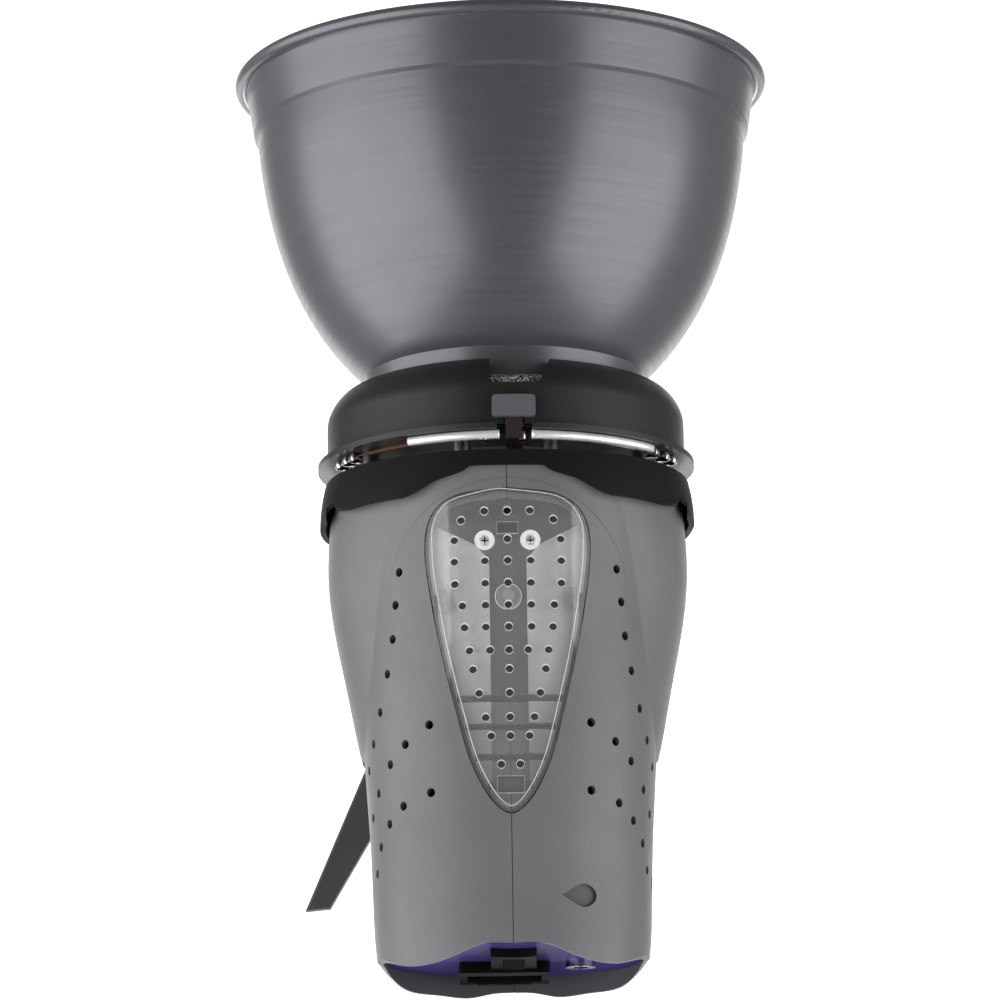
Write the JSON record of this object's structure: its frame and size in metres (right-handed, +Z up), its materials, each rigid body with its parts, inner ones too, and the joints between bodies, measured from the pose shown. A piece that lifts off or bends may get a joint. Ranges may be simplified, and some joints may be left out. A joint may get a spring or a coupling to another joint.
{
  "type": "monolight strobe",
  "caption": "Studio monolight strobe with a bayonet reflector bowl, on a tilting stand bracket with clamp lever.",
  "frame": {"origin": "mouth of the stand spigot's socket, on its axis", "axes": "+Y along the optical axis, the way the flash fires; +Z up, away from the stand; +X to the right seen from behind"},
  "size_m": [0.225, 0.3847, 0.2525],
  "materials": {
    "casing_grey": "fine satin moulded",
    "black_plastic": "fine leather-grain texture",
    "panel_purple": "satin",
    "clear_plastic": "clear moulded polycarbonate",
    "reflector_paint": "satin grey lacquer",
    "reflector_silver": "satin anodised",
    "polished_steel": "polished",
    "zinc_steel": "zinc plated",
    "cast_metal": "rough cast",
    "bracket_alloy": "black powder coat",
    "tube_glass": "clear",
    "ceramic_white": "matt",
    "brass": "turned",
    "board_green": "solder mask",
    "capacitor_sleeve": "shrink sleeve",
    "copper_wire": "enamelled",
    "lamp_red": "clear red",
    "smoked_window": "smoked",
    "knob_grey": "satin moulded"
  },
  "bodies": {
    "stand_bracket": {"stand_bracket": "bracket_alloy"},
    "head": {"left_casing": "casing_grey", "right_casing": "casing_grey", "casing_screws": "zinc_steel", "rear_panel": "panel_purple", "rear_panel_screws": "zinc_steel", "front_bumper": "black_plastic", "front_bulkhead": "black_plastic", "clear_cover": "clear_plastic", "cover_screws": "polished_steel", "photocell": "clear_plastic", "mount_flange": "polished_steel", "flange_standoffs": "zinc_steel", "mount_hood": "black_plastic", "bayonet_ring": "cast_metal", "tube_base": "ceramic_white", "flash_tube": "tube_glass", "lampholder": "ceramic_white", "modelling_lamp_cap": "brass", "modelling_lamp_bulb": "tube_glass", "flash_capacitors": "capacitor_sleeve", "main_board": "board_green", "charging_coil": "copper_wire", "control_board": "board_green", "fan_frame": "black_plastic", "switch_bezel": "black_plastic", "mains_inlet": "black_plastic", "inlet_pins": "brass", "fuse_drawer": "black_plastic", "sync_jack": "polished_steel", "display_window": "smoked_window", "ready_lamp": "lamp_red", "tilt_yoke": "bracket_alloy", "yoke_backplate": "zinc_steel", "yoke_screws": "zinc_steel", "friction_washers": "black_plastic"},
    "release_catch": {"release_button": "knob_grey", "release_strap": "polished_steel", "lock_pin": "zinc_steel", "release_spring": "zinc_steel"},
    "reflector": {"reflector_bowl": "reflector_paint", "reflector_collar": "polished_steel", "collar_rivets": "zinc_steel"},
    "tilt_lever": {"tilt_lever": "knob_grey", "tilt_bolt": "zinc_steel"},
    "stand_pad": {"stand_clamp_pad": "brass"},
    "stand_knob": {"stand_clamp_screw": "zinc_steel", "stand_clamp_knob": "black_plastic"},
    "umbrella_pad": {"umbrella_clamp_pad": "brass"},
    "umbrella_knob": {"umbrella_clamp_screw": "black_plastic"},
    "power_rocker": {"power_rocker": "black_plastic"},
    "power_dial": {"power_dial": "knob_grey"},
    "modelling_dial": {"modelling_dial": "knob_grey"},
    "test_key": {"test_key": "panel_purple"},
    "sound_key": {"sound_key": "panel_purple"},
    "cell_key": {"cell_key": "panel_purple"},
    "fan_rotor": {"fan_rotor": "black_plastic"}
  },
  "joints": [
    {"name": "head_tilt", "type": "hinge", "parent": "stand_bracket", "child": "head", "pos_m": [0, 0, 0.052], "axis": [1, 0, 0], "range_deg": [-60, 90]},
    {"name": "tilt_lever_swing", "type": "hinge", "parent": "head", "child": "tilt_lever", "pos_m": [0, 0, 0.052], "axis": [1, 0, 0], "range_deg": [0, 75]},
    {"name": "reflector_twist", "type": "hinge", "parent": "head", "child": "reflector", "pos_m": [0, 0.11, 0.14], "axis": [0, -1, 0], "range_deg": [0, 30]},
    {"name": "release_travel", "type": "slide", "parent": "head", "child": "release_catch", "axis": [0, -1, 0], "range_m": [0, 0.0024], "stiffness_N_per_m": 1200, "springref_m": -0.002, "deforming": ["release_spring"]},
    {"name": "stand_pad_travel", "type": "slide", "parent": "stand_bracket", "child": "stand_pad", "axis": [-1, 0, 0], "range_m": [0, 0.0025]},
    {"name": "stand_knob_turn", "type": "hinge", "parent": "stand_pad", "child": "stand_knob", "pos_m": [0.02, 0, 0.016], "axis": [-1, 0, 0], "range_deg": [0, 725]},
    {"name": "umbrella_pad_travel", "type": "slide", "parent": "head", "child": "umbrella_pad", "axis": [-1, 0, 0], "range_m": [0, 0.0016]},
    {"name": "umbrella_knob_turn", "type": "hinge", "parent": "umbrella_pad", "child": "umbrella_knob", "pos_m": [0.04, 0, 0.068], "axis": [-1, 0, 0], "range_deg": [0, 725]},
    {"name": "power_rocker_tip", "type": "hinge", "parent": "head", "child": "power_rocker", "pos_m": [0, -0.1104, 0.157], "axis": [1, 0, 0], "range_deg": [0, 16]},
    {"name": "power_dial_turn", "type": "hinge", "parent": "head", "child": "power_dial", "pos_m": [0.038, -0.112, 0.166], "axis": [0, 1, 0], "range_deg": [0, 270]},
    {"name": "modelling_dial_turn", "type": "hinge", "parent": "head", "child": "modelling_dial", "pos_m": [0.0455, -0.112, 0.154], "axis": [0, 1, 0], "range_deg": [0, 270]},
    {"name": "fan_spin", "type": "hinge", "parent": "head", "child": "fan_rotor", "pos_m": [0, 0.068, 0.125], "axis": [0, 1, 0], "continuous": true},
    {"name": "test_key_press", "type": "slide", "parent": "head", "child": "test_key", "axis": [0, 1, 0], "range_m": [0, 0.0012], "stiffness_N_per_m": 300, "springref_m": -0.0008},
    {"name": "sound_key_press", "type": "slide", "parent": "head", "child": "sound_key", "axis": [0, 1, 0], "range_m": [0, 0.0012], "stiffness_N_per_m": 300, "springref_m": -0.0008},
    {"name": "cell_key_press", "type": "slide", "parent": "head", "child": "cell_key", "axis": [0, 1, 0], "range_m": [0, 0.0012], "stiffness_N_per_m": 300, "springref_m": -0.0008}
  ],
  "couplings": [
    {"joint": "stand_knob_turn", "follows": "stand_pad_travel", "rad_per_m": 5026.5},
    {"joint": "umbrella_knob_turn", "follows": "umbrella_pad_travel", "rad_per_m": 7854}
  ]
}
